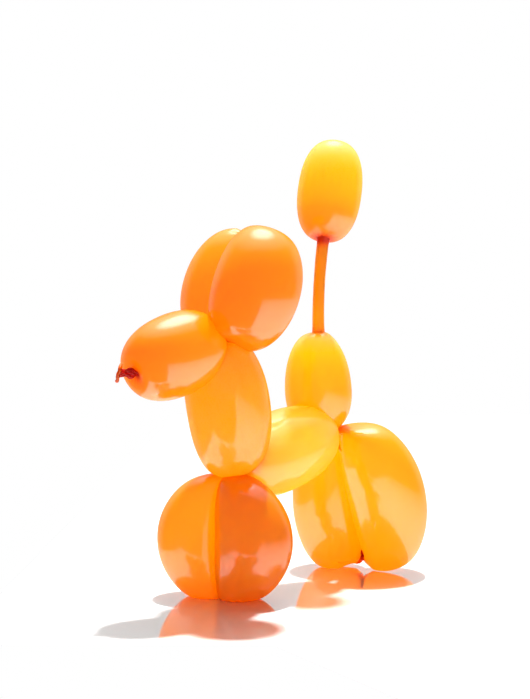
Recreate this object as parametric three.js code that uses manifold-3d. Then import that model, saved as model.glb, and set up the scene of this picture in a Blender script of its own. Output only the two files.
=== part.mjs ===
// Balloon poodle: one long, thin modelling balloon, blown up and twisted into a standing poodle.
// From the knot back it runs nose, two ears, neck, two front legs, body, two hind legs, tail,
// a bare length that holds no air, and a pompom at the closed end.
// Millimetres, +Z up. The dog faces -Y and its left side is +X. The origin is on the ground,
// in the middle of the footprint.
import * as THREE from 'three';
import { mergeVertices } from 'three/addons/utils/BufferGeometryUtils.js';
import Module from 'manifold-3d';

const wasm = await Module();
wasm.setup();

const point = (x, y, z) => new THREE.Vector3(x, y, z);
const UP = point(0, 0, 1);
const BACK = point(0, 1, 0);

// ---------------------------------------------------------------- driving dimensions

// How finely a bubble is cut into flats.
const SIDES = 24;
const RINGS = 13;

// Twists: the points where the balloon is turned on itself, from the nose to the pompom.
const NOSE_TIP = point(-8, -104.5, 133);
const HEAD_TWIST = point(-2.5, -49.5, 153);
const EAR_TIPS = point(2, -18, 209.5);
const CHEST_TWIST = point(-1.5, -32.5, 72.5);
const FRONT_FEET_TWIST = point(-4, -38.5, 7);
const RUMP_TWIST = point(-5.5, 59, 90.5);
const HIND_FEET_TWIST = point(-1.5, 91.5, 8);
const TAIL_TOP = point(-6.5, 54.5, 153.5);
const POMPOM_BASE = point(-5.5, 58.5, 215.5);
const POMPOM_TIP = point(-12, 79, 275);

// Widths of the inflated lengths.
const NOSE_WIDTH = 47;
const EAR_WIDTH = 51;
const NECK_WIDTH = 49;
const FRONT_LEG_WIDTH = 45.5;
const BODY_WIDTH = 49.5;
const HIND_LEG_WIDTH = 49.5;
const TAIL_WIDTH = 42;
const POMPOM_WIDTH = 41;

// The two ears lie side by side and bow away from each other. The pair is turned about the upright.
const EARS_MIDDLE = point(2, -31, 180.5);
const EARS_AXIS = point(0, 0.45, 1);
const EARS_SIDE = point(1, 0, 0).applyAxisAngle(UP, THREE.MathUtils.degToRad(-24));
const EAR_LENGTH = 77;
const EAR_SPREAD = 16;
const EAR_BOW = 5.5;

// The front legs bow outwards from the line that joins their two twists.
const FRONT_LEGS_MIDDLE = point(-4, -38.5, 33.5);
const FRONT_LEGS_SIDE = point(1, 0, 0).applyAxisAngle(UP, THREE.MathUtils.degToRad(12));
const FRONT_LEG_LENGTH = 78.5;
const FRONT_LEG_SPREAD = 8;
const FRONT_LEG_BOW = 11.5;

// The left hind leg stands taller and slopes back, and the right one is nearly upright.
const LEFT_HIND_MIDDLE = point(13, 88, 46.8);
const LEFT_HIND_AXIS = point(0, 0.36, -1);
const LEFT_HIND_LENGTH = 106;
const LEFT_HIND_BOW = point(8, 3, 0);
const RIGHT_HIND_MIDDLE = point(-18.5, 87.5, 42.5);
const RIGHT_HIND_AXIS = point(0, 0.1, -1);
const RIGHT_HIND_LENGTH = 96;
const RIGHT_HIND_BOW = point(-4, 0, 0);

// The uninflated tube, and the knot with its rolled lip.
const TUBE_WIDTH = 7.4;
const TUBE_BOW = point(-1, -1, 0);
const KNOT_DIRECTION = point(-0.5, -0.866, 0);
const KNOT_LENGTH = 11.5;
const KNOT_WIDTH = 6.4;
const KNOT_PLEATS = 7;
const LIP_DIRECTION = point(-0.75, -0.63, 0.22);
const LIP_WIDTH = 11.2;
const LIP_THICKNESS = 2.6;

// How wide the drawn-in end of a bubble is, as a share of the bubble's own width, and how far
// it runs past the twist, so that the lengths on both sides of a twist join through solid material.
const DRAWN_END = 0.32;
const TWIST_OVERLAP = 2.5;

// ---------------------------------------------------------------- shapes

// Joins rings of points, each ring the same number of points, into one closed body
// between two end points.
function loft(start, rings, end) {
  const sides = rings[0].length;
  const points = [start, ...rings.flat(), end];
  const last = points.length - 1;
  const faces = [];
  for (let side = 0; side < sides; side += 1) {
    const next = (side + 1) % sides;
    faces.push(0, 1 + next, 1 + side);
    for (let ring = 0; ring < rings.length - 1; ring += 1) {
      const near = 1 + ring * sides;
      const far = near + sides;
      faces.push(near + side, near + next, far + next, near + side, far + next, far + side);
    }
    const rim = 1 + (rings.length - 1) * sides;
    faces.push(last, rim + side, rim + next);
  }
  const geometry = new THREE.BufferGeometry().setFromPoints(points);
  geometry.setIndex(faces);
  return geometry;
}

// A ring of points about a centre, square to a direction. The radius may depend on the angle.
function ring(centre, direction, radiusAt, sides) {
  const along = direction.clone().normalize();
  const reference = Math.abs(along.z) < 0.9 ? UP : BACK;
  const first = new THREE.Vector3().crossVectors(reference, along).normalize();
  const second = new THREE.Vector3().crossVectors(along, first);
  return Array.from({ length: sides }, (_, side) => {
    const angle = (2 * Math.PI * side) / sides;
    const radius = radiusAt(angle);
    return centre.clone()
      .addScaledVector(first, radius * Math.cos(angle))
      .addScaledVector(second, radius * Math.sin(angle));
  });
}

// A point a little beyond a twist, seen from the middle of a bubble.
function pastTwist(twist, middle) {
  const outwards = twist.clone().sub(middle).normalize();
  return twist.clone().addScaledVector(outwards, TWIST_OVERLAP);
}

// One inflated length between two twists. Its side is a full curve whose powers set how blunt
// its ends and how straight its sides are. Near each end it is drawn into that end's twist.
function bubble({ from, to, middle, axis, length, width, endPower = 0.95, sidePower = 0.85,
  bow = point(0, 0, 0), taper = 0 }) {
  const along = axis.clone().normalize();
  const half = length / 2;
  const start = pastTwist(from, middle);
  const end = pastTwist(to, middle);
  const drawnToStart = start.clone().sub(middle.clone().addScaledVector(along, -half));
  const drawnToEnd = end.clone().sub(middle.clone().addScaledVector(along, half));
  const rings = [];
  for (let step = 1; step < RINGS; step += 1) {
    const angle = (Math.PI * step) / RINGS;
    const share = -Math.sign(Math.cos(angle)) * Math.abs(Math.cos(angle)) ** endPower;
    const radius = (width / 2) * Math.sin(angle) ** sidePower * (1 + taper * share);
    const draw = Math.exp(-((radius / (DRAWN_END * width / 2)) ** 2));
    const centre = middle.clone()
      .addScaledVector(along, half * share)
      .addScaledVector(bow, 1 - share * share)
      .addScaledVector(share < 0 ? drawnToStart : drawnToEnd, draw);
    rings.push(ring(centre, along, () => radius, SIDES));
  }
  return loft(start, rings, end);
}

// A bubble whose ends lie straight at its two twists, a little past them before it is drawn in.
function straightBubble({ from, to, middle, ...rest }) {
  const overlap = 2;
  const axis = to.clone().sub(from);
  const halfway = from.clone().lerp(to, 0.5);
  return bubble({ from, to, middle: middle ?? halfway, axis, length: axis.length() + 2 * overlap,
    endPower: 0.9, sidePower: 0.75, ...rest });
}

// The uninflated length, slightly bowed, and wider where it runs into the bubbles at its ends.
function tube(from, to) {
  const steps = 10;
  const overlap = 4;
  const flare = 1.6;
  const axis = to.clone().sub(from);
  const direction = axis.clone().normalize();
  const start = from.clone().addScaledVector(direction, -overlap);
  const rings = [];
  for (let step = 0; step <= steps; step += 1) {
    const share = step / steps;
    const centre = start.clone()
      .addScaledVector(direction, share * (axis.length() + 2 * overlap))
      .addScaledVector(TUBE_BOW, 4 * share * (1 - share));
    const nearEnd = (2 * share - 1) ** 8;
    rings.push(ring(centre, axis, () => TUBE_WIDTH / 2 + flare * nearEnd, 14));
  }
  const end = to.clone().addScaledVector(direction, overlap);
  return loft(start, rings, end);
}

// The pleated knot in front of the nose: thin at the nose, a swelling, thin again at the lip.
function knot() {
  const sides = KNOT_PLEATS * 4;
  const start = NOSE_TIP.clone().addScaledVector(KNOT_DIRECTION, -4);
  const profile = [[0.02, 0.7], [0.32, 0.62], [0.45, 0.95], [0.62, 1], [0.76, 0.8], [0.98, 0.72]];
  const reach = KNOT_LENGTH + 4;
  const rings = profile.map(([share, fullness]) => ring(
    start.clone().addScaledVector(KNOT_DIRECTION, share * reach),
    KNOT_DIRECTION,
    (angle) => (KNOT_WIDTH / 2) * fullness * (1 + 0.09 * Math.cos(KNOT_PLEATS * angle)),
    sides,
  ));
  return loft(start, rings, start.clone().addScaledVector(KNOT_DIRECTION, reach));
}

// The balloon's mouth: a flat disc with a rolled rim and a dimple where the mouth is gathered.
function lip() {
  const centre = NOSE_TIP.clone().addScaledVector(KNOT_DIRECTION, KNOT_LENGTH);
  const direction = LIP_DIRECTION.clone().normalize();
  const half = LIP_THICKNESS / 2;
  const roll = LIP_WIDTH / 2 - half;
  const at = (height) => centre.clone().addScaledVector(direction, height);
  const rings = [[-0.3, roll * 0.7]];
  for (let step = 0; step <= 6; step += 1) {
    const angle = (Math.PI * step) / 6;
    rings.push([-half * Math.cos(angle), roll + half * Math.sin(angle)]);
  }
  rings.push([0.4, roll * 0.7]);
  const circles = rings.map(([height, radius]) => ring(at(height), direction, () => radius, 18));
  return loft(at(-0.3), circles, at(0.4));
}

// ---------------------------------------------------------------- the balloon's lengths

const ears = [1, -1].map((side) => bubble({
  from: HEAD_TWIST,
  to: EAR_TIPS,
  middle: EARS_MIDDLE.clone().addScaledVector(EARS_SIDE, side * EAR_SPREAD),
  axis: EARS_AXIS,
  length: EAR_LENGTH,
  width: EAR_WIDTH,
  bow: EARS_SIDE.clone().multiplyScalar(side * EAR_BOW),
}));

const frontLegs = [1, -1].map((side) => bubble({
  from: CHEST_TWIST,
  to: FRONT_FEET_TWIST,
  middle: FRONT_LEGS_MIDDLE.clone().addScaledVector(FRONT_LEGS_SIDE, side * FRONT_LEG_SPREAD),
  axis: point(0, 0, -1),
  length: FRONT_LEG_LENGTH,
  width: FRONT_LEG_WIDTH,
  sidePower: 0.92,
  bow: FRONT_LEGS_SIDE.clone().multiplyScalar(side * FRONT_LEG_BOW),
}));

const hindLegs = [
  bubble({
    from: RUMP_TWIST,
    to: HIND_FEET_TWIST,
    middle: LEFT_HIND_MIDDLE,
    axis: LEFT_HIND_AXIS,
    length: LEFT_HIND_LENGTH,
    width: HIND_LEG_WIDTH,
    bow: LEFT_HIND_BOW,
    taper: -0.05,
  }),
  bubble({
    from: RUMP_TWIST,
    to: HIND_FEET_TWIST,
    middle: RIGHT_HIND_MIDDLE,
    axis: RIGHT_HIND_AXIS,
    length: RIGHT_HIND_LENGTH,
    width: HIND_LEG_WIDTH,
    bow: RIGHT_HIND_BOW,
  }),
];

const nose = straightBubble({
  from: HEAD_TWIST,
  to: NOSE_TIP,
  middle: point(-6.5, -78, 142.5),
  axis: point(-8, -57, -21),
  length: 65,
  width: NOSE_WIDTH,
  sidePower: 0.8,
});

const neck = straightBubble({
  from: CHEST_TWIST,
  to: HEAD_TWIST,
  width: NECK_WIDTH,
  bow: point(2, 1.5, 0),
});

const body = straightBubble({
  from: CHEST_TWIST,
  to: RUMP_TWIST,
  middle: point(-3.5, 12.5, 82.5),
  width: BODY_WIDTH,
});

const tail = straightBubble({
  from: RUMP_TWIST,
  to: TAIL_TOP,
  middle: point(-8, 55.5, 123),
  width: TAIL_WIDTH,
  sidePower: 0.95,
  taper: -0.12,
});

const pompom = straightBubble({
  from: POMPOM_BASE,
  to: POMPOM_TIP,
  width: POMPOM_WIDTH,
  sidePower: 0.7,
});

// ---------------------------------------------------------------- one solid

// A closed geometry as a solid that can be joined and cut.
function toSolid(geometry) {
  geometry.deleteAttribute('normal');
  geometry.deleteAttribute('uv');
  const merged = mergeVertices(geometry, 1e-4);
  return new wasm.Manifold(new wasm.Mesh({
    numProp: 3,
    vertProperties: new Float32Array(merged.attributes.position.array),
    triVerts: new Uint32Array(merged.index.array),
  }));
}

// A solid back as a geometry.
function toGeometry(solid) {
  const mesh = solid.getMesh();
  const geometry = new THREE.BufferGeometry();
  geometry.setAttribute('position', new THREE.BufferAttribute(mesh.vertProperties, 3));
  geometry.setIndex(new THREE.BufferAttribute(mesh.triVerts, 1));
  geometry.computeVertexNormals();
  return geometry;
}

const lengths = [nose, ...ears, neck, ...frontLegs, body, ...hindLegs, tail,
  tube(TAIL_TOP, POMPOM_BASE), pompom, knot(), lip()];

// The legs press a small flat pad against the ground.
const groundDepth = 20;
const ground = new THREE.BoxGeometry(400, 400, groundDepth).translate(0, 0, -groundDepth / 2);

const balloonSolid = lengths.map(toSolid)
  .reduce((whole, length) => whole.add(length))
  .subtract(toSolid(ground));

const latex = new THREE.MeshStandardMaterial({ color: '#ff9410', roughness: 0.15, metalness: 0 });
const balloon = new THREE.Mesh(toGeometry(balloonSolid), latex);
balloon.name = 'twisted_balloon';

const poodle = new THREE.Group();
poodle.add(balloon);

export default poodle;
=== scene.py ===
"""A poodle twisted from one long modelling balloon: its skin, twists, knot and stage.

Laid out as an add-on and run as a script. Everything is in metres and +Z is up. The dog faces
-Y and its left side is +X.
"""

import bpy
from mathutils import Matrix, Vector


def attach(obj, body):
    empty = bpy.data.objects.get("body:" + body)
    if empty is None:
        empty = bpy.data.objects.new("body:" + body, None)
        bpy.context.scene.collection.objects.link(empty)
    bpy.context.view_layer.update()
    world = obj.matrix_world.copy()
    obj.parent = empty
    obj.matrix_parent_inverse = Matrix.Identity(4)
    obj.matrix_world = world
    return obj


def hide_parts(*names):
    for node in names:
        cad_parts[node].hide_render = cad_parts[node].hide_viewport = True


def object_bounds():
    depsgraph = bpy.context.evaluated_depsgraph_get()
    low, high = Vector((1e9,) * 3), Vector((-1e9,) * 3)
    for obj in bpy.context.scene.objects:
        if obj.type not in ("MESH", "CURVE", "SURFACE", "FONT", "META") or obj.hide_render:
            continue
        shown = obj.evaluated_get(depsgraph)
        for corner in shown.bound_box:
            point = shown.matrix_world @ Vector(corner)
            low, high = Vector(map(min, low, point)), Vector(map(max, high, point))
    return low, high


bl_info = {
    "name": "Balloon Poodle",
    "version": (1, 0, 0),
    "blender": (4, 5, 0),
    "location": "3D View > Sidebar > Balloon Poodle",
    "description": "Builds a poodle twisted from one modelling balloon, and a plain stage for it",
    "category": "Add Mesh",
}

import math
from dataclasses import dataclass

import bpy
import numpy as np
from bpy.props import FloatProperty, FloatVectorProperty, IntProperty, PointerProperty
from mathutils import Matrix, Vector
from mathutils.bvhtree import BVHTree

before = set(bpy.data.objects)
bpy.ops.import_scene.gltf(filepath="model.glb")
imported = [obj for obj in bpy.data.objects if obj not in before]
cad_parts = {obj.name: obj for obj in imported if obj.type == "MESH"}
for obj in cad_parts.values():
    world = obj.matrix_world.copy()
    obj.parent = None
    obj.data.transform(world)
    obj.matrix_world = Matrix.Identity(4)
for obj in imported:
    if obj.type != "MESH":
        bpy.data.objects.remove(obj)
CAD_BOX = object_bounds()

MM = 0.001
NODE = "twisted_balloon"
UP = Vector((0, 0, 1))
BACK = Vector((0, 1, 0))


def mm(x, y, z):
    """A point given in millimetres."""
    return Vector((x, y, z)) * MM


# Twists: the points where the balloon is turned on itself, from the nose to the pompom.
NOSE_TIP = mm(-8, -104.5, 133)
HEAD_TWIST = mm(-2.5, -49.5, 153)
EAR_TIPS = mm(2, -18, 209.5)
CHEST_TWIST = mm(-1.5, -32.5, 72.5)
FRONT_FEET_TWIST = mm(-4, -38.5, 7)
RUMP_TWIST = mm(-5.5, 59, 90.5)
HIND_FEET_TWIST = mm(-1.5, 95, 11)
TAIL_TOP = mm(-6.5, 54.5, 153.5)
POMPOM_BASE = mm(-5.5, 58.5, 215.5)
POMPOM_TIP = mm(-12, 79, 275)

EARS_MIDDLE = mm(2, -31, 180.5)
EARS_SIDE = Matrix.Rotation(math.radians(-24), 3, "Z") @ Vector((1, 0, 0))
EAR_SPREAD = 16 * MM
EAR_BOW = 5.5 * MM
FRONT_LEGS_MIDDLE = mm(-4, -38.5, 33.9)
FRONT_LEGS_SIDE = Matrix.Rotation(math.radians(12), 3, "Z") @ Vector((1, 0, 0))
FRONT_LEG_SPREAD = 8 * MM
FRONT_LEG_BOW = 11.5 * MM
TUBE_BOW = mm(-1, -1, 0)
KNOT_DIRECTION = Vector((-0.5, -0.866, 0)).normalized()
KNOT_LENGTH = 11.5 * MM
# Eight pleats and three lobes round the knot, in radians.
KNOT_PLEATS = 50.2655
KNOT_LOBES = 18.8496
LIP_DIRECTION = Vector((-0.75, -0.63, 0.22)).normalized()

# How far past a twist each length runs, and how wide its drawn-in end is, as a share of its width.
TWIST_OVERLAP = 1.5 * MM
DRAWN_END = 0.32


# ------------------------------------------------------------------ settings


class LatexSettings(bpy.types.PropertyGroup):
    thick: FloatVectorProperty(
        name="Unstretched", description="Colour where the latex is twisted or holds no air",
        subtype="COLOR", size=3, min=0, max=1, default=(0.72, 0.016, 0.0))
    deep: FloatVectorProperty(
        name="Little stretched", description="Colour where the latex is only a little stretched",
        subtype="COLOR", size=3, min=0, max=1, default=(1.0, 0.31, 0.0))
    blown: FloatVectorProperty(
        name="Blown up", description="Colour where the latex is blown up",
        subtype="COLOR", size=3, min=0, max=1, default=(1.0, 0.47, 0.0))
    thin: FloatVectorProperty(
        name="Blown thin", description="Colour where the latex is blown up the most",
        subtype="COLOR", size=3, min=0, max=1, default=(1.0, 0.67, 0.03))
    # The palest colour is partly the thinnest latex and partly a painted highlight on the tops of
    # the tail and pompom.
    palest_and_highlight: FloatVectorProperty(
        name="Thinnest, with painted highlight", description="Colour where the latex is stretched the most, and painted highlight on the tail and pompom tops",
        subtype="COLOR", size=3, min=0, max=1, default=(1.0, 0.93, 0.72))


class SkinSettings(bpy.types.PropertyGroup):
    softness: FloatProperty(
        name="Contact softness", description="How gently two lengths turn away from their contact",
        subtype="DISTANCE", unit="LENGTH", default=1.6 * MM, min=0.2 * MM, max=5 * MM)
    pleats: IntProperty(
        name="Pleats", description="Folds around each drawn-in end", default=15, min=5, max=40)
    pleat_depth: FloatProperty(
        name="Pleat depth", description="Depth of the folds as a share of the width there",
        subtype="FACTOR", default=0.10, min=0, max=0.3)


class TrimSettings(bpy.types.PropertyGroup):
    tube_width: FloatProperty(
        name="Tube width", description="Width of the length that holds no air",
        subtype="DISTANCE", unit="LENGTH", default=7.4 * MM, min=3 * MM, max=12 * MM)
    rope_width: FloatProperty(
        name="Rope width", description="Width of the twisted rope of latex between two lengths",
        subtype="DISTANCE", unit="LENGTH", default=4.6 * MM, min=2 * MM, max=8 * MM)
    knot_width: FloatProperty(
        name="Knot width", description="Width of the knot in front of the nose",
        subtype="DISTANCE", unit="LENGTH", default=6.4 * MM, min=3 * MM, max=10 * MM)
    lip_width: FloatProperty(
        name="Lip width", description="Width of the rolled lip at the balloon's mouth",
        subtype="DISTANCE", unit="LENGTH", default=10.8 * MM, min=6 * MM, max=16 * MM)


class StageSettings(bpy.types.PropertyGroup):
    floor: FloatProperty(
        name="Floor size", description="Width of the pale floor",
        subtype="DISTANCE", unit="LENGTH", default=12.0 * (CAD_BOX[1][2] - CAD_BOX[0][2]), min=1)
    floor_colour: FloatVectorProperty(
        name="Floor colour", description="Colour of the pale floor",
        subtype="COLOR", size=3, min=0, max=1, default=(0.76, 0.755, 0.75))
    key: FloatProperty(
        name="Key light", description="Strength of the high light behind the dog",
        default=11.5, min=0)


# ------------------------------------------------------------------ node writing


def is_several(value):
    """Whether a value is a vector: a vector or colour wire, or three numbers."""
    if isinstance(value, Wire):
        return value.socket.type in {"VECTOR", "RGBA"}
    return isinstance(value, (tuple, Vector))


class Wire:
    """A node's output. Sums on wires add Math nodes, and Vector Math nodes for vectors."""

    def __init__(self, nodes, socket):
        self.nodes = nodes
        self.socket = socket

    def calculate(self, operation, first, second):
        if not (is_several(first) or is_several(second)):
            return self.nodes.math(operation, first, second)
        pair = [(value,) * 3 if isinstance(value, (int, float)) else value
                for value in (first, second)]
        return self.nodes.add("ShaderNodeVectorMath", {"operation": operation},
                              {0: pair[0], 1: pair[1]})

    def __add__(self, other):
        return self.calculate("ADD", self, other)

    def __sub__(self, other):
        return self.calculate("SUBTRACT", self, other)

    def __rsub__(self, other):
        return self.calculate("SUBTRACT", other, self)

    def __mul__(self, other):
        return self.calculate("MULTIPLY", self, other)

    def __truediv__(self, other):
        return self.calculate("DIVIDE", self, other)

    def __pow__(self, other):
        return self.calculate("POWER", self, other)

    __radd__ = __add__
    __rmul__ = __mul__


class Nodes:
    """Writes one node tree, for a shader or for geometry."""

    def __init__(self, tree):
        self.tree = tree
        self.tree.nodes.clear()

    def add(self, kind, settings=None, inputs=None, output=0):
        """Adds a node: first its settings, then its inputs' values, wires or lists of wires."""
        node = self.tree.nodes.new(kind)
        for name, value in (settings or {}).items():
            if name == "stops":
                set_stops(node.color_ramp, value)
            else:
                setattr(node, name, value)
        for name, value in (inputs or {}).items():
            if isinstance(value, (Wire, list)):
                for wire in value if isinstance(value, list) else [value]:
                    self.tree.links.new(wire.socket, node.inputs[name])
            else:
                node.inputs[name].default_value = value
        return Wire(self, node.outputs[output]) if len(node.outputs) else node

    def math(self, operation, first, second=0.0, clamp=False):
        """Adds a Math node."""
        return self.add("ShaderNodeMath", {"operation": operation, "use_clamp": clamp},
                        {0: first, 1: second})

    def bell(self, size, width):
        """1 where a size is nothing, falling smoothly to 0 well beyond a width."""
        return self.math("EXPONENT", -1.0 * (size / width) ** 2)


def set_stops(ramp, stops):
    """Sets a colour ramp's places and colours."""
    while len(ramp.elements) < len(stops):
        ramp.elements.new(1.0)
    for element, (place, colour) in zip(ramp.elements, stops):
        element.position = place
        element.color = (*colour, 1.0)


def shader_of(owner):
    """An empty shader tree of a material or a world."""
    owner.use_nodes = True
    return Nodes(owner.node_tree)


# How far the latex is stretched where its colours are reached, from 0 to 1.
DEEP_AT = 0.28
BLOWN_AT = 0.60
THIN_AT = 0.84


def latex_material(settings):
    """Blown latex: clear and yellow where it is thin, deep red where it isn't stretched. How far it
    is stretched also carries painted light and shade, so its pale and deep colours are partly
    painted highlight and painted shade.
    """
    material = bpy.data.materials.new("orange_latex_skin")
    shader = shader_of(material)
    stretch = shader.add("ShaderNodeAttribute", {"attribute_name": "stretch"}, output=2)
    place = shader.add("ShaderNodeTexCoord", output=3)
    cloud = shader.add("ShaderNodeTexNoise", inputs={"Vector": place, "Scale": 45.0, "Detail": 3.0})
    grain = shader.add("ShaderNodeTexNoise", inputs={
        "Vector": place, "Scale": 900.0, "Detail": 2.0})
    shade = stretch + (cloud - 0.5) * 0.10
    colour = shader.add("ShaderNodeValToRGB", {"stops": [
        (0.0, settings.thick), (DEEP_AT, settings.deep), (BLOWN_AT, settings.blown),
        (THIN_AT, settings.thin), (1.0, settings.palest_and_highlight)]},
        {"Fac": shade})
    gloss_share = shader.math("MULTIPLY", stretch - 0.12, 2.6, clamp=True)
    dust = shader.add("ShaderNodeBump", inputs={
        "Strength": 0.05, "Distance": 0.0002, "Height": grain})
    gloss = shader.add("ShaderNodeBsdfPrincipled", inputs={
        "Base Color": colour,
        "Roughness": 0.50 - stretch * 0.26 + (grain - 0.5) * 0.08,
        "IOR": 1.7,
        "Coat Weight": gloss_share,
        "Coat Roughness": 0.09,
        "Coat IOR": 2.7,
        "Normal": dust,
    })
    # Only a mix factor may change over the skin here, so each glow has one fixed colour.
    dark_glow = shader.add("ShaderNodeBsdfTranslucent", inputs={"Color": (*settings.thick, 1)})
    deep_glow = shader.add("ShaderNodeBsdfTranslucent", inputs={"Color": (*settings.deep, 1)})
    thin_glow = shader.add("ShaderNodeBsdfTranslucent", inputs={"Color": (*settings.thin, 1)})
    inflated = shader.math("DIVIDE", stretch, DEEP_AT, clamp=True)
    thinned = shader.math("DIVIDE", stretch - DEEP_AT, THIN_AT - DEEP_AT, clamp=True)
    glow = shader.add("ShaderNodeMixShader", inputs={0: inflated, 1: dark_glow, 2: deep_glow})
    glow = shader.add("ShaderNodeMixShader", inputs={0: thinned, 1: glow, 2: thin_glow})
    skin = shader.add("ShaderNodeMixShader", inputs={0: 0.62 + stretch * 0.20, 1: gloss, 2: glow})
    shader.add("ShaderNodeOutputMaterial", inputs={"Surface": skin})
    return material


def latex(settings):
    """The latex material, made once."""
    return bpy.data.materials.get("orange_latex_skin") or latex_material(settings)


# ------------------------------------------------------------------ mesh helpers


def link_mesh(name, mesh, material):
    """Links a mesh as an object with one material, shaded smooth."""
    mesh.materials.clear()
    mesh.materials.append(material)
    mesh.shade_smooth()
    piece = bpy.data.objects.new(name, mesh)
    bpy.context.scene.collection.objects.link(piece)
    return piece


def finish_piece(piece):
    """Ties a finished piece to the frame."""
    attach(piece, "root")
    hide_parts(NODE)


# ------------------------------------------------------------------ geometry trees


def geometry_tree(name, sizes, vectors=()):
    """A Geometry Nodes tree with a geometry input, named sizes and vectors, and its output."""
    tree = bpy.data.node_groups.new(name, "GeometryNodeTree")
    tree.interface.new_socket("Geometry", in_out="INPUT", socket_type="NodeSocketGeometry")
    for size in sizes:
        tree.interface.new_socket(size, in_out="INPUT", socket_type="NodeSocketFloat")
    for vector in vectors:
        tree.interface.new_socket(vector, in_out="INPUT", socket_type="NodeSocketVector")
    tree.interface.new_socket("Geometry", in_out="OUTPUT", socket_type="NodeSocketGeometry")
    nodes = Nodes(tree)
    outputs = nodes.add("NodeGroupInput").socket.node.outputs
    names = ["Geometry", *sizes, *vectors]
    return nodes, {name: Wire(nodes, outputs[index]) for index, name in enumerate(names)}


def end_tree(nodes, geometry, material):
    """Realizes, sets the material, and ends the tree."""
    real = nodes.add("GeometryNodeRealizeInstances", inputs={0: geometry})
    clad = nodes.add("GeometryNodeSetMaterial", inputs={0: real, "Material": material})
    nodes.add("NodeGroupOutput", inputs={0: clad})


def grown_mesh(name, source, nodes, sizes):
    """Runs a tree on a source mesh and returns the result as a plain mesh."""
    carrier = bpy.data.objects.new(name + "_source", source)
    bpy.context.scene.collection.objects.link(carrier)
    modifier = carrier.modifiers.new("nodes", "NODES")
    modifier.node_group = nodes.tree
    for item in nodes.tree.interface.items_tree:
        if item.in_out == "INPUT" and item.name in sizes:
            modifier[item.identifier] = sizes[item.name]
    evaluated = carrier.evaluated_get(bpy.context.evaluated_depsgraph_get())
    mesh = bpy.data.meshes.new_from_object(evaluated)
    carrier.modifiers.clear()
    bpy.data.objects.remove(carrier)
    if not mesh.polygons:
        raise RuntimeError(name + " came out empty")
    mesh.name = name
    return mesh


# ------------------------------------------------------------------ inflated lengths

SIDES = 96
RINGS = 90

LENGTH_SIZES = [
    "Width", "Length", "End power", "Side power", "Taper", "Stretch", "Start reach", "End reach",
    "End paling and highlight", "End folds", "Pleats", "Pleat depth"]
LENGTH_VECTORS = ["Start", "End", "Middle", "Axis", "Across", "Bow"]


def just_past(twist, middle):
    """A point a little beyond a twist, as seen from a length's middle."""
    return twist + (twist - middle).normalized() * TWIST_OVERLAP


@dataclass
class Length:
    """One inflated length between two twists."""

    start: Vector
    end: Vector
    width: float
    middle: Vector = None
    axis: Vector = None
    length: float = 0.0
    end_power: float = 0.9
    side_power: float = 0.75
    bow: Vector = Vector((0, 0, 0))
    taper: float = 0.0
    stretch: float = 0.8
    start_thick: float = 0.16
    end_thick: float = 0.16
    end_paling_and_highlight: float = 0.0
    blind_end: bool = False

    def sizes(self, settings):
        """The tree's inputs for this length."""
        span = self.end - self.start
        middle = self.middle or self.start.lerp(self.end, 0.5)
        axis = (self.axis or span).normalized()
        reference = UP if abs(axis.z) < 0.9 else BACK
        return {
            "Width": self.width,
            "Length": self.length or span.length + 4 * MM,
            "End power": self.end_power,
            "Side power": self.side_power,
            "Taper": self.taper,
            "Stretch": self.stretch,
            "Start reach": self.start_thick,
            "End reach": self.end_thick,
            "End paling and highlight": self.end_paling_and_highlight,
            "End folds": 0.0 if self.blind_end else 1.0,
            "Pleats": float(settings.pleats),
            "Pleat depth": settings.pleat_depth,
            "Start": tuple(just_past(self.start, middle)),
            "End": tuple(just_past(self.end, middle)),
            "Middle": tuple(middle),
            "Axis": tuple(axis),
            "Across": tuple(reference.cross(axis).normalized()),
            "Bow": tuple(self.bow),
        }


# Folds at a drawn-in end: how far they lean, their second wave, and how far they reach.
FOLD_LEAN = 0.6
SECOND_WAVE = 0.45
FOLD_REACH = 0.11
# Streaks of thicker latex run on from the folds.
STREAK_REACH = 0.15
STREAK_DEPTH = 0.3
# How fast the thick ends and the pale tip set in away from the middle; the pale tip is partly thin
# latex and partly a painted highlight.
ENDS_RISE = 1.8
TIP_RISE = 1.1


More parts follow.
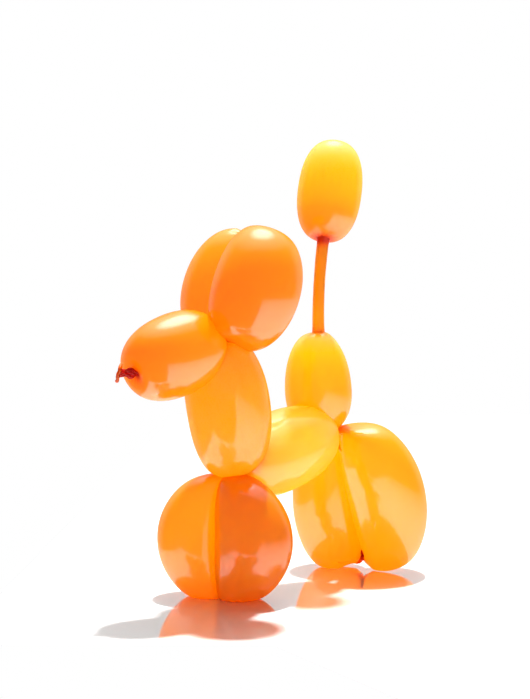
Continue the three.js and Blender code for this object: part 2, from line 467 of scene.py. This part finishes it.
def length_tree(material):
    """The tree that blows up one length: a tube of rings with both ends drawn to its twists."""
    nodes, size = geometry_tree("inflated_length", LENGTH_SIZES, LENGTH_VECTORS)
    width, half = size["Width"], size["Length"] * 0.5
    grid = nodes.add("GeometryNodeMeshGrid", inputs={
        "Size X": 1.0, "Size Y": 1.0, "Vertices X": RINGS + 1, "Vertices Y": SIDES + 1})
    place = nodes.add("GeometryNodeInputPosition")
    angle = (nodes.add("ShaderNodeSeparateXYZ", inputs={0: place}, output=0) + 0.5) * math.pi
    turn = (nodes.add("ShaderNodeSeparateXYZ", inputs={0: place}, output=1) + 0.5) * math.tau

    cosine = nodes.math("COSINE", angle)
    sine = nodes.math("MAXIMUM", nodes.math("SINE", angle), 0.0)
    share = nodes.math("SIGN", cosine) * nodes.math("ABSOLUTE", cosine) ** size["End power"] * -1.0
    second_half = nodes.math("GREATER_THAN", share, 0.0)
    radius = width * 0.5 * sine ** size["Side power"] * (share * size["Taper"] + 1.0)

    draw = nodes.bell(radius, width * (DRAWN_END / 2))
    to_start = size["Start"] - size["Middle"] + size["Axis"] * half
    to_end = size["End"] - size["Middle"] - size["Axis"] * half
    pull = to_start + (to_end - to_start) * second_half
    centre = size["Middle"] + size["Axis"] * (half * share) + size["Bow"] * (1.0 - share * share)
    centre = centre + pull * draw

    lead = turn + draw * FOLD_LEAN
    wave = nodes.math("COSINE", lead * size["Pleats"])
    wave = wave + nodes.math("COSINE", lead * (size["Pleats"] * 2.0 - 3.0) + 1.0) * SECOND_WAVE
    folded = 1.0 - second_half * (1.0 - size["End folds"])
    folds = wave * nodes.bell(radius, width * FOLD_REACH) * folded
    ring = radius * (folds * size["Pleat depth"] + 1.0)
    over = nodes.add("ShaderNodeVectorMath", {"operation": "CROSS_PRODUCT"},
                     {0: size["Axis"], 1: size["Across"]})
    outwards = size["Across"] * nodes.math("COSINE", turn) + over * nodes.math("SINE", turn)

    reach = size["Start reach"] + (size["End reach"] - size["Start reach"]) * second_half
    streaks = wave * nodes.bell(radius, width * STREAK_REACH) * STREAK_DEPTH
    reach = width * reach * (streaks + 1.0)
    ends = nodes.math("MULTIPLY", nodes.math("ABSOLUTE", share), ENDS_RISE, clamp=True)
    drop = nodes.bell(radius, reach) * folded * ends * ends
    # The tips of the tail and pompom are made paler here: partly thin latex, partly a painted
    # highlight from the light above.
    tip = nodes.math("MULTIPLY", share, TIP_RISE, clamp=True)
    tip_paling_and_highlight = tip * tip * size["End paling and highlight"]
    stretch = (size["Stretch"] + tip_paling_and_highlight) * (1.0 - drop)

    skin = nodes.add("GeometryNodeStoreNamedAttribute",
                     {"data_type": "FLOAT", "domain": "POINT"},
                     {"Geometry": grid, "Name": "stretch", "Value": stretch})
    skin = nodes.add("GeometryNodeSetPosition", inputs={
        "Geometry": skin, "Position": centre + outwards * ring})
    skin = nodes.add("GeometryNodeMergeByDistance", inputs={"Geometry": skin, "Distance": 2e-6})
    skin = nodes.add("GeometryNodeFlipFaces", inputs={0: skin})
    end_tree(nodes, skin, material)
    return nodes


def inflated_lengths():
    """Every inflated length, by name."""
    # How far each length is stretched is here partly real and partly painted light and shade: the
    # deeper front legs and ears stand partly for the shade they sit in under the head and neck, the
    # paler neck and body partly for the light on them.
    lengths = {
        "nose": Length(
            HEAD_TWIST, NOSE_TIP, 47 * MM, mm(-6.5, -78, 142.5), Vector((-8, -57, -21)), 65 * MM,
            side_power=0.8, stretch=0.54, end_thick=0.10),
        "neck": Length(CHEST_TWIST, HEAD_TWIST, 49 * MM, bow=mm(2, 1.5, 0), stretch=0.86),
        "body": Length(
            CHEST_TWIST, RUMP_TWIST, 49.5 * MM, mm(-3.5, 12.5, 82.5), stretch=0.93),
        "left_hind_leg": Length(
            RUMP_TWIST, HIND_FEET_TWIST, 49.5 * MM, mm(13, 88, 47.6), Vector((0, 0.36, -1)),
            106 * MM, 0.95, 0.85, mm(8, 3, 0), -0.05, stretch=0.63),
        "right_hind_leg": Length(
            RUMP_TWIST, HIND_FEET_TWIST, 49.5 * MM, mm(-18.5, 87.5, 43), Vector((0, 0.1, -1)),
            96 * MM, 0.95, 0.85, mm(-4, 0, 0), stretch=0.63),
        "tail": Length(
            RUMP_TWIST, TAIL_TOP, 42 * MM, mm(-8, 55.5, 123), side_power=0.95, taper=-0.12,
            stretch=0.67, end_thick=0.08, end_paling_and_highlight=0.42),
        "pompom": Length(
            POMPOM_BASE, POMPOM_TIP, 41 * MM, side_power=0.7, stretch=0.83,
            start_thick=0.40, end_paling_and_highlight=0.26, blind_end=True),
    }
    for name, side in (("left", 1), ("right", -1)):
        lengths[name + "_ear"] = Length(
            HEAD_TWIST, EAR_TIPS, 51 * MM, EARS_MIDDLE + EARS_SIDE * side * EAR_SPREAD,
            Vector((0, 0.45, 1)), 77 * MM, 0.95, 0.85, EARS_SIDE * side * EAR_BOW, stretch=0.57)
        lengths[name + "_front_leg"] = Length(
            CHEST_TWIST, FRONT_FEET_TWIST, 45.5 * MM,
            FRONT_LEGS_MIDDLE + FRONT_LEGS_SIDE * side * FRONT_LEG_SPREAD,
            Vector((0, 0, -1)), 78.5 * MM, 0.95, 0.92,
            FRONT_LEGS_SIDE * side * FRONT_LEG_BOW, stretch=0.60, end_thick=0.26)
    return lengths


def mesh_points(mesh):
    """A mesh's points as rows of x, y and z."""
    points = np.empty(len(mesh.vertices) * 3, dtype=np.float32)
    mesh.vertices.foreach_get("co", points)
    return points.reshape(-1, 3).astype(float)


def press_together(meshes, softness):
    """Moves each length's points out of its neighbours, to a shared wall half way between."""
    shapes = {name: mesh_points(mesh) for name, mesh in meshes.items()}
    trees = {name: BVHTree.FromPolygons(
        shapes[name].tolist(), [tuple(face.vertices) for face in mesh.polygons])
        for name, mesh in meshes.items()}
    pressed = {}
    for name, points in shapes.items():
        moved = points.copy()
        for other, tree in trees.items():
            if other == name:
                continue
            low, high = shapes[other].min(0), shapes[other].max(0)
            close = np.all((points > low - softness * 3) & (points < high + softness * 3), axis=1)
            for index in np.nonzero(close)[0]:
                point = Vector(points[index])
                place, normal, _, distance = tree.find_nearest(point)
                inside = (point - place).dot(normal) < 0
                depth = distance if inside else -distance
                if depth < -4 * softness:
                    continue
                push = (depth + math.hypot(depth, softness)) / 4
                outwards = (place - point) if inside else (point - place)
                if outwards.length > 1e-9:
                    moved[index] += np.array(outwards.normalized()) * push
        pressed[name] = moved
    return pressed


def stand_on_ground(points, softness):
    """Flattens what would reach below the ground, with a soft rim."""
    height = points[:, 2]
    points[:, 2] = (height + np.hypot(height, softness)) / 2
    return points


class POODLE_OT_inflated_lengths(bpy.types.Operator):
    """Blows up all the lengths and presses them against each other at the twists"""

    bl_idname = "poodle.inflated_lengths"
    bl_label = "Inflated lengths"

    def execute(self, context):
        settings = context.scene.poodle_skin
        material = latex(context.scene.poodle_latex)
        nodes = length_tree(material)
        meshes = {name: grown_mesh(name, bpy.data.meshes.new(name), nodes, length.sizes(settings))
                  for name, length in inflated_lengths().items()}
        for name, points in press_together(meshes, settings.softness).items():
            points = stand_on_ground(points, 0.7 * MM)
            points = np.clip(points, CAD_BOX[0], CAD_BOX[1])
            meshes[name].vertices.foreach_set("co", points.astype(np.float32).ravel())
            meshes[name].update()
            finish_piece(link_mesh(name, meshes[name], material))
        return {"FINISHED"}


# ------------------------------------------------------------------ trims by Geometry Nodes


def path_mesh(name, points):
    """A mesh of points joined in a line."""
    mesh = bpy.data.meshes.new(name)
    mesh.from_pydata([tuple(p) for p in points], [(i, i + 1) for i in range(len(points) - 1)], [])
    return mesh


def tube_points():
    """The middle of the length that holds no air, from inside the tail to inside the pompom."""
    rise = (POMPOM_BASE - TAIL_TOP).normalized()
    start, end = TAIL_TOP - rise * 2.5 * MM, POMPOM_BASE + rise * 2.5 * MM
    shares = [step / 24 for step in range(25)]
    return [start.lerp(end, s) + TUBE_BOW * 4 * s * (1 - s) for s in shares]


# The tube's stretch, and the dark collar at its top: where it starts, sets in, and by how much.
TUBE_STRETCH = 0.6
COLLAR_START = 0.84
COLLAR_RISE = 0.07
COLLAR_DROP = 0.56


class POODLE_OT_uninflated_tube(bpy.types.Operator):
    """Makes the thin length between the tail and the pompom, which holds no air"""

    bl_idname = "poodle.uninflated_tube"
    bl_label = "Uninflated tube"

    def execute(self, context):
        material = latex(context.scene.poodle_latex)
        nodes, size = geometry_tree("uninflated_tube", ["Width"])
        curve = nodes.add("GeometryNodeMeshToCurve", inputs={0: size["Geometry"]})
        curve = nodes.add("GeometryNodeResampleCurve", inputs={"Curve": curve, "Count": 72})
        share = nodes.add("GeometryNodeSplineParameter")
        from_middle = nodes.math("ABSOLUTE", share * 2 - 1)
        lump = nodes.add("ShaderNodeTexNoise", inputs={"Scale": 120.0, "Detail": 1.0})
        girth = size["Width"] * (0.5 + from_middle ** 10 * 0.16 + (lump - 0.5) * 0.05)
        collar = nodes.math("DIVIDE", share - COLLAR_START, COLLAR_RISE, clamp=True)
        stretch = TUBE_STRETCH - collar * COLLAR_DROP
        curve = nodes.add("GeometryNodeStoreNamedAttribute",
                          {"data_type": "FLOAT", "domain": "POINT"},
                          {"Geometry": curve, "Name": "stretch", "Value": stretch})
        round_profile = nodes.add("GeometryNodeCurvePrimitiveCircle", inputs={
            "Resolution": 40, "Radius": 1.0})
        tube = nodes.add("GeometryNodeCurveToMesh", inputs={
            "Curve": curve, "Profile Curve": round_profile, "Scale": girth, "Fill Caps": True})
        end_tree(nodes, tube, material)
        source = path_mesh("tube_path", tube_points())
        mesh = grown_mesh("uninflated_tube", source, nodes,
                          {"Width": context.scene.poodle_trim.tube_width})
        finish_piece(link_mesh("uninflated_tube", mesh, material))
        return {"FINISHED"}


def twist_places():
    """Each twist between two lengths, the way its rope runs, and how long the rope is."""
    return [
        (HEAD_TWIST, Vector((0, -0.85, 0.5)), 9 * MM),
        (CHEST_TWIST, Vector((0, 1, 0.2)), 9 * MM),
        (FRONT_FEET_TWIST, FRONT_LEGS_SIDE, 9 * MM),
        (RUMP_TWIST, Vector((0, 0.75, 0.6)), 9 * MM),
        (HIND_FEET_TWIST, Vector((1, 0, 0)), 7 * MM),
        (EAR_TIPS, EARS_SIDE, 8 * MM),
        (TAIL_TOP, Vector((0, 0.1, 1)), 6 * MM),
        (POMPOM_BASE, Vector((0, 0.1, 1)), 6 * MM),
    ]


STRANDS = 3
ROPE_TURNS = 1.25
STRAND_SPREAD = 0.26


class POODLE_OT_twist_ropes(bpy.types.Operator):
    """Makes the short twisted ropes of unstretched latex at the twists"""

    bl_idname = "poodle.twist_ropes"
    bl_label = "Twist ropes"

    def execute(self, context):
        material = latex(context.scene.poodle_latex)
        nodes, size = geometry_tree("twist_ropes", ["Width"])
        width = size["Width"]
        turns = nodes.add("GeometryNodeCurveSpiral", inputs={
            "Resolution": 22, "Rotations": ROPE_TURNS, "Start Radius": width * STRAND_SPREAD,
            "End Radius": width * STRAND_SPREAD, "Height": 1.0})
        length = nodes.add("GeometryNodeInputNamedAttribute", {"data_type": "FLOAT"},
                           {"Name": "length"})
        axis = nodes.add("GeometryNodeInputNamedAttribute", {"data_type": "FLOAT_VECTOR"},
                         {"Name": "axis"})
        strands = nodes.add("GeometryNodeMeshLine", inputs={
            "Count": STRANDS, "Offset": (0, 0, 0)})
        index = nodes.add("GeometryNodeInputIndex")
        spin = nodes.add("ShaderNodeCombineXYZ", inputs={"Z": index * (math.tau / STRANDS)})
        bundle = nodes.add("GeometryNodeInstanceOnPoints", inputs={
            "Points": strands, "Instance": turns, "Rotation": spin})
        way = nodes.add("FunctionNodeAlignRotationToVector", {"axis": "Z"}, {"Vector": axis})
        stretch_out = nodes.add("ShaderNodeCombineXYZ", inputs={"X": 1.0, "Y": 1.0, "Z": length})
        ropes = nodes.add("GeometryNodeInstanceOnPoints", inputs={
            "Points": size["Geometry"], "Instance": bundle, "Rotation": way, "Scale": stretch_out})
        ropes = nodes.add("GeometryNodeRealizeInstances", inputs={0: ropes})
        share = nodes.add("GeometryNodeSplineParameter")
        taper = 1 - nodes.math("ABSOLUTE", share * 2 - 1) ** 4
        round_profile = nodes.add("GeometryNodeCurvePrimitiveCircle", inputs={
            "Resolution": 14, "Radius": 1.0})
        strands = nodes.add("GeometryNodeCurveToMesh", inputs={
            "Curve": ropes, "Profile Curve": round_profile, "Fill Caps": True,
            "Scale": width * (0.06 + taper * 0.18)})
        end_tree(nodes, strands, material)
        source = bpy.data.meshes.new("twist_places")
        spots = twist_places()
        starts = [tuple(spot - run.normalized() * reach / 2) for spot, run, reach in spots]
        source.from_pydata(starts, [], [])
        ways = source.attributes.new("axis", "FLOAT_VECTOR", "POINT")
        ways.data.foreach_set("vector", [c for _, run, _ in spots for c in run.normalized()])
        lengths = source.attributes.new("length", "FLOAT", "POINT")
        lengths.data.foreach_set("value", [reach for _, _, reach in spots])
        mesh = grown_mesh("twist_ropes", source, nodes,
                          {"Width": context.scene.poodle_trim.rope_width})
        finish_piece(link_mesh("twist_ropes", mesh, material))
        return {"FINISHED"}


# The lip's ring, roll and web as shares of its width, and how far its latex is stretched.
LIP_RING = 0.42
LIP_ROLL = 0.085
LIP_WEB = 0.08
LIP_STRETCH = 0.24


class POODLE_OT_mouth_knot(bpy.types.Operator):
    """Makes the knot at the balloon's mouth and its rolled lip, in front of the nose"""

    bl_idname = "poodle.mouth_knot"
    bl_label = "Mouth knot"

    def execute(self, context):
        material = latex(context.scene.poodle_latex)
        trim = context.scene.poodle_trim
        self.make_knot(trim, material)
        self.make_lip(trim, material)
        return {"FINISHED"}

    def make_knot(self, trim, material):
        nodes, size = geometry_tree("mouth_knot", ["Width"])
        width = size["Width"]
        curve = nodes.add("GeometryNodeMeshToCurve", inputs={0: size["Geometry"]})
        curve = nodes.add("GeometryNodeResampleCurve", inputs={"Curve": curve, "Count": 60})
        share = nodes.add("GeometryNodeSplineParameter")
        thickness = nodes.add("ShaderNodeFloatCurve", inputs={"Value": share})
        set_curve(thickness, [
            (0, 0.30), (0.14, 0.62), (0.30, 0.52), (0.42, 0.92), (0.55, 1.0), (0.66, 0.82),
            (0.74, 0.66), (0.86, 0.72), (1, 0.80)])
        curve = nodes.add("GeometryNodeSetCurveTilt", inputs={"Curve": curve, "Tilt": share * 2.6})
        ring = nodes.add("GeometryNodeCurvePrimitiveCircle", inputs={
            "Resolution": 72, "Radius": 1.0})
        round_share = nodes.add("GeometryNodeSplineParameter")
        fold = nodes.math("SINE", round_share * KNOT_PLEATS)
        second = nodes.math("SINE", round_share * KNOT_LOBES)
        spread = 0.90 + fold * 0.11 + second * 0.08
        place = nodes.add("GeometryNodeInputPosition")
        whole = nodes.add("ShaderNodeCombineXYZ", inputs={"X": spread, "Y": spread, "Z": spread})
        ring = nodes.add("GeometryNodeSetPosition", inputs={
            "Geometry": ring, "Position": place * whole})
        knot = nodes.add("GeometryNodeCurveToMesh", inputs={
            "Curve": curve, "Profile Curve": ring, "Fill Caps": True,
            "Scale": width * thickness * 0.5})
        end_tree(nodes, knot, material)
        start = NOSE_TIP - KNOT_DIRECTION * 2 * MM
        end = NOSE_TIP + KNOT_DIRECTION * KNOT_LENGTH
        source = path_mesh("knot_path", [start.lerp(end, s / 10) for s in range(11)])
        mesh = grown_mesh("mouth_knot", source, nodes, {"Width": trim.knot_width})
        finish_piece(link_mesh("mouth_knot", mesh, material))

    def make_lip(self, trim, material):
        nodes, size = geometry_tree("rolled_lip", ["Width"])
        width = size["Width"]
        ring = nodes.add("GeometryNodeCurvePrimitiveCircle", inputs={
            "Resolution": 96, "Radius": width * LIP_RING})
        place = nodes.add("GeometryNodeInputPosition")
        wave = nodes.add("ShaderNodeTexNoise", inputs={"Vector": place, "Scale": 260.0},
                         output=1)
        ring = nodes.add("GeometryNodeSetPosition", inputs={
            "Geometry": ring, "Offset": (wave - (0.5, 0.5, 0.5)) * (0.0016, 0.0016, 0.0022)})
        ring = nodes.add("GeometryNodeStoreNamedAttribute",
                         {"data_type": "FLOAT", "domain": "POINT"},
                         {"Geometry": ring, "Name": "stretch", "Value": LIP_STRETCH})
        round_profile = nodes.add("GeometryNodeCurvePrimitiveCircle", inputs={
            "Resolution": 18, "Radius": 1.0})
        roll = nodes.add("GeometryNodeCurveToMesh", inputs={
            "Curve": ring, "Profile Curve": round_profile, "Scale": width * LIP_ROLL})
        web = nodes.add("GeometryNodeMeshUVSphere", inputs={
            "Segments": 48, "Rings": 16, "Radius": 1.0})
        flat = nodes.add("ShaderNodeCombineXYZ", inputs={
            "X": width * LIP_RING, "Y": width * LIP_RING, "Z": width * LIP_WEB})
        web = nodes.add("GeometryNodeTransform", inputs={"Geometry": web, "Scale": flat})
        both = nodes.add("GeometryNodeJoinGeometry", inputs={0: [roll, web]})
        way = nodes.add("FunctionNodeAlignRotationToVector", {"axis": "Z"},
                        {"Vector": LIP_DIRECTION})
        lip = nodes.add("GeometryNodeInstanceOnPoints", inputs={
            "Points": size["Geometry"], "Instance": both, "Rotation": way})
        end_tree(nodes, lip, material)
        source = path_mesh("lip_spot", [NOSE_TIP + KNOT_DIRECTION * KNOT_LENGTH])
        mesh = grown_mesh("rolled_lip", source, nodes, {"Width": trim.lip_width})
        finish_piece(link_mesh("rolled_lip", mesh, material))


def set_curve(wire, points):
    """Sets a Float Curve node's points."""
    mapping = wire.socket.node.mapping
    curve = mapping.curves[0]
    for place, height in points[1:-1]:
        curve.points.new(place, height)
    curve.points[0].location = points[0]
    curve.points[-1].location = points[-1]
    mapping.update()


# ------------------------------------------------------------------ stage


class POODLE_OT_stage(bpy.types.Operator):
    """Makes the pale floor, the lights and the camera"""

    bl_idname = "poodle.stage"
    bl_label = "Stage"

    def execute(self, context):
        settings = context.scene.poodle_stage
        make_floor(settings)
        make_lights(settings)
        make_camera(context.scene)
        return {"FINISHED"}


VIEW_YAW = math.radians(40)
TOWARDS_CAMERA = Vector((math.sin(VIEW_YAW), -math.cos(VIEW_YAW), 0))
FLOOR_IN_FRONT = 0.152
FLOOR_SPLAY = math.radians(27)
FLOOR_TO_RIGHT = 1.1
FLOOR_TO_LEFT = 0.16


def make_floor(settings):
    """A pale glossy table top that ends close in front of the dog."""
    right = UP.cross(TOWARDS_CAMERA)
    spread = FLOOR_TO_RIGHT / math.tan(FLOOR_SPLAY)
    corners = [
        TOWARDS_CAMERA * FLOOR_IN_FRONT,
        TOWARDS_CAMERA * (FLOOR_IN_FRONT + spread) + right * FLOOR_TO_RIGHT,
        -TOWARDS_CAMERA * settings.floor / 2 + right * FLOOR_TO_RIGHT,
        -TOWARDS_CAMERA * settings.floor / 2 - right * FLOOR_TO_LEFT,
        TOWARDS_CAMERA * FLOOR_IN_FRONT - right * FLOOR_TO_LEFT,
    ]
    mesh = bpy.data.meshes.new("floor")
    mesh.from_pydata([tuple(c) for c in corners], [], [tuple(range(len(corners)))])
    material = bpy.data.materials.new("pale_floor")
    shader = shader_of(material)
    paint = shader.add("ShaderNodeBsdfPrincipled", inputs={
        "Base Color": (*settings.floor_colour, 1), "Roughness": 0.05, "IOR": 2.3,
        "Coat Weight": 0.7, "Coat Roughness": 0.03, "Coat IOR": 1.8})
    shader.add("ShaderNodeOutputMaterial", inputs={"Surface": paint})
    floor = link_mesh("floor", mesh, material)


# The neutral sky's brightness, and how bright its soft overhead patch is.
SKY_IN_FRONT = 0.18
SKY_BESIDE = 0.15
SKY_BEHIND = (0.86, 0.85, 0.84)
OVERHEAD_PATCH = 8.0
# A wider, weaker sheen around the patch, only in reflections: its edge, its rise and its strength.
SHEEN_EDGE = 0.74
SHEEN_RISE = 4.5
SHEEN = 1.9
TOWARDS_LIGHT = Vector((-28.3, 46.4, 133)).normalized()


def make_lights(settings):
    """A high sun behind the dog and a plain sky, bright behind it and dim in front."""
    scene = bpy.context.scene
    sun = bpy.data.lights.new("key", "SUN")
    sun.energy = settings.key
    sun.angle = math.radians(3)
    lamp = bpy.data.objects.new("key", sun)
    lamp.visible_glossy = False
    lamp.rotation_euler = TOWARDS_LIGHT.to_track_quat("Z", "Y").to_euler()
    scene.collection.objects.link(lamp)
    world = bpy.data.worlds.new("sky")
    scene.world = world
    shader = shader_of(world)
    direction = shader.add("ShaderNodeTexCoord", output=0)
    behind = shader.add("ShaderNodeVectorMath", {"operation": "DOT_PRODUCT"},
                        {0: direction, 1: -TOWARDS_CAMERA}, output=1)
    sky = shader.add("ShaderNodeValToRGB", {"stops": [
        (0.0, (SKY_IN_FRONT,) * 3), (0.66, (SKY_BESIDE,) * 3), (0.84, SKY_BEHIND),
        (1.0, SKY_BEHIND)]}, {"Fac": behind * 0.5 + 0.5})
    overhead = shader.add("ShaderNodeVectorMath", {"operation": "DOT_PRODUCT"},
                          {0: direction, 1: TOWARDS_LIGHT}, output=1)
    panel = shader.add("ShaderNodeValToRGB", {"stops": [
        (0.0, (0, 0, 0)), (0.94, (0, 0, 0)), (0.99, (1, 1, 1)), (1.0, (1, 1, 1))]},
        {"Fac": overhead})
    sky = sky + panel * ((OVERHEAD_PATCH,) * 3)
    reflected = shader.add("ShaderNodeLightPath", output="Is Glossy Ray")
    sheen = shader.math("MULTIPLY", overhead - SHEEN_EDGE, SHEEN_RISE, clamp=True)
    sheen = sheen * reflected * SHEEN
    sky = sky + shader.add("ShaderNodeCombineXYZ", inputs={"X": sheen, "Y": sheen, "Z": sheen})
    seen = shader.add("ShaderNodeLightPath", output="Is Camera Ray")
    around = shader.add("ShaderNodeBackground", inputs={"Color": sky, "Strength": 1.0})
    plain = shader.add("ShaderNodeBackground", inputs={"Color": (1, 1, 1, 1), "Strength": 1.0})
    mixed = shader.add("ShaderNodeMixShader", inputs={0: seen, 1: around, 2: plain})
    shader.add("ShaderNodeOutputWorld", inputs={"Surface": mixed})
    scene.view_settings.view_transform = "Standard"


CAMERA_DISTANCE = 0.877
CAMERA_HEIGHT = 0.160
CAMERA_TARGET = mm(-3, -2.7, 0)
CAMERA_TILT = math.radians(1.0)


def make_camera(scene):
    """A long lens at the dog's own height, level with its neck."""
    data = bpy.data.cameras.new("camera")
    data.lens = 75
    data.sensor_width = 36
    data.clip_start = 0.01
    camera = bpy.data.objects.new("camera", data)
    camera.location = CAMERA_TARGET + TOWARDS_CAMERA * CAMERA_DISTANCE + UP * CAMERA_HEIGHT
    camera.rotation_euler = (math.pi / 2 - CAMERA_TILT, 0, VIEW_YAW)
    scene.collection.objects.link(camera)
    scene.camera = camera


# ------------------------------------------------------------------ panel and registration


class POODLE_PT_panel(bpy.types.Panel):
    bl_label = "Balloon Poodle"
    bl_idname = "POODLE_PT_panel"
    bl_space_type = "VIEW_3D"
    bl_region_type = "UI"
    bl_category = "Balloon Poodle"

    def draw(self, context):
        for group in ("poodle_latex", "poodle_skin", "poodle_trim", "poodle_stage"):
            settings = getattr(context.scene, group)
            box = self.layout.box()
            for name in settings.__annotations__:
                box.prop(settings, name)
        for operator in OPERATORS:
            self.layout.operator(operator.bl_idname)


SETTINGS = {
    "poodle_latex": LatexSettings,
    "poodle_skin": SkinSettings,
    "poodle_trim": TrimSettings,
    "poodle_stage": StageSettings,
}
OPERATORS = [
    POODLE_OT_inflated_lengths,
    POODLE_OT_uninflated_tube,
    POODLE_OT_twist_ropes,
    POODLE_OT_mouth_knot,
    POODLE_OT_stage,
]


def register():
    for name, group in SETTINGS.items():
        bpy.utils.register_class(group)
        setattr(bpy.types.Scene, name, PointerProperty(type=group))
    for item in [*OPERATORS, POODLE_PT_panel]:
        bpy.utils.register_class(item)


def unregister():
    for item in [POODLE_PT_panel, *reversed(OPERATORS)]:
        bpy.utils.unregister_class(item)
    for name, group in SETTINGS.items():
        delattr(bpy.types.Scene, name)
        bpy.utils.unregister_class(group)


def main():
    register()
    bpy.ops.poodle.inflated_lengths()
    bpy.ops.poodle.uninflated_tube()
    bpy.ops.poodle.twist_ropes()
    bpy.ops.poodle.mouth_knot()
    bpy.ops.poodle.stage()


if __name__ == "__main__":
    main()
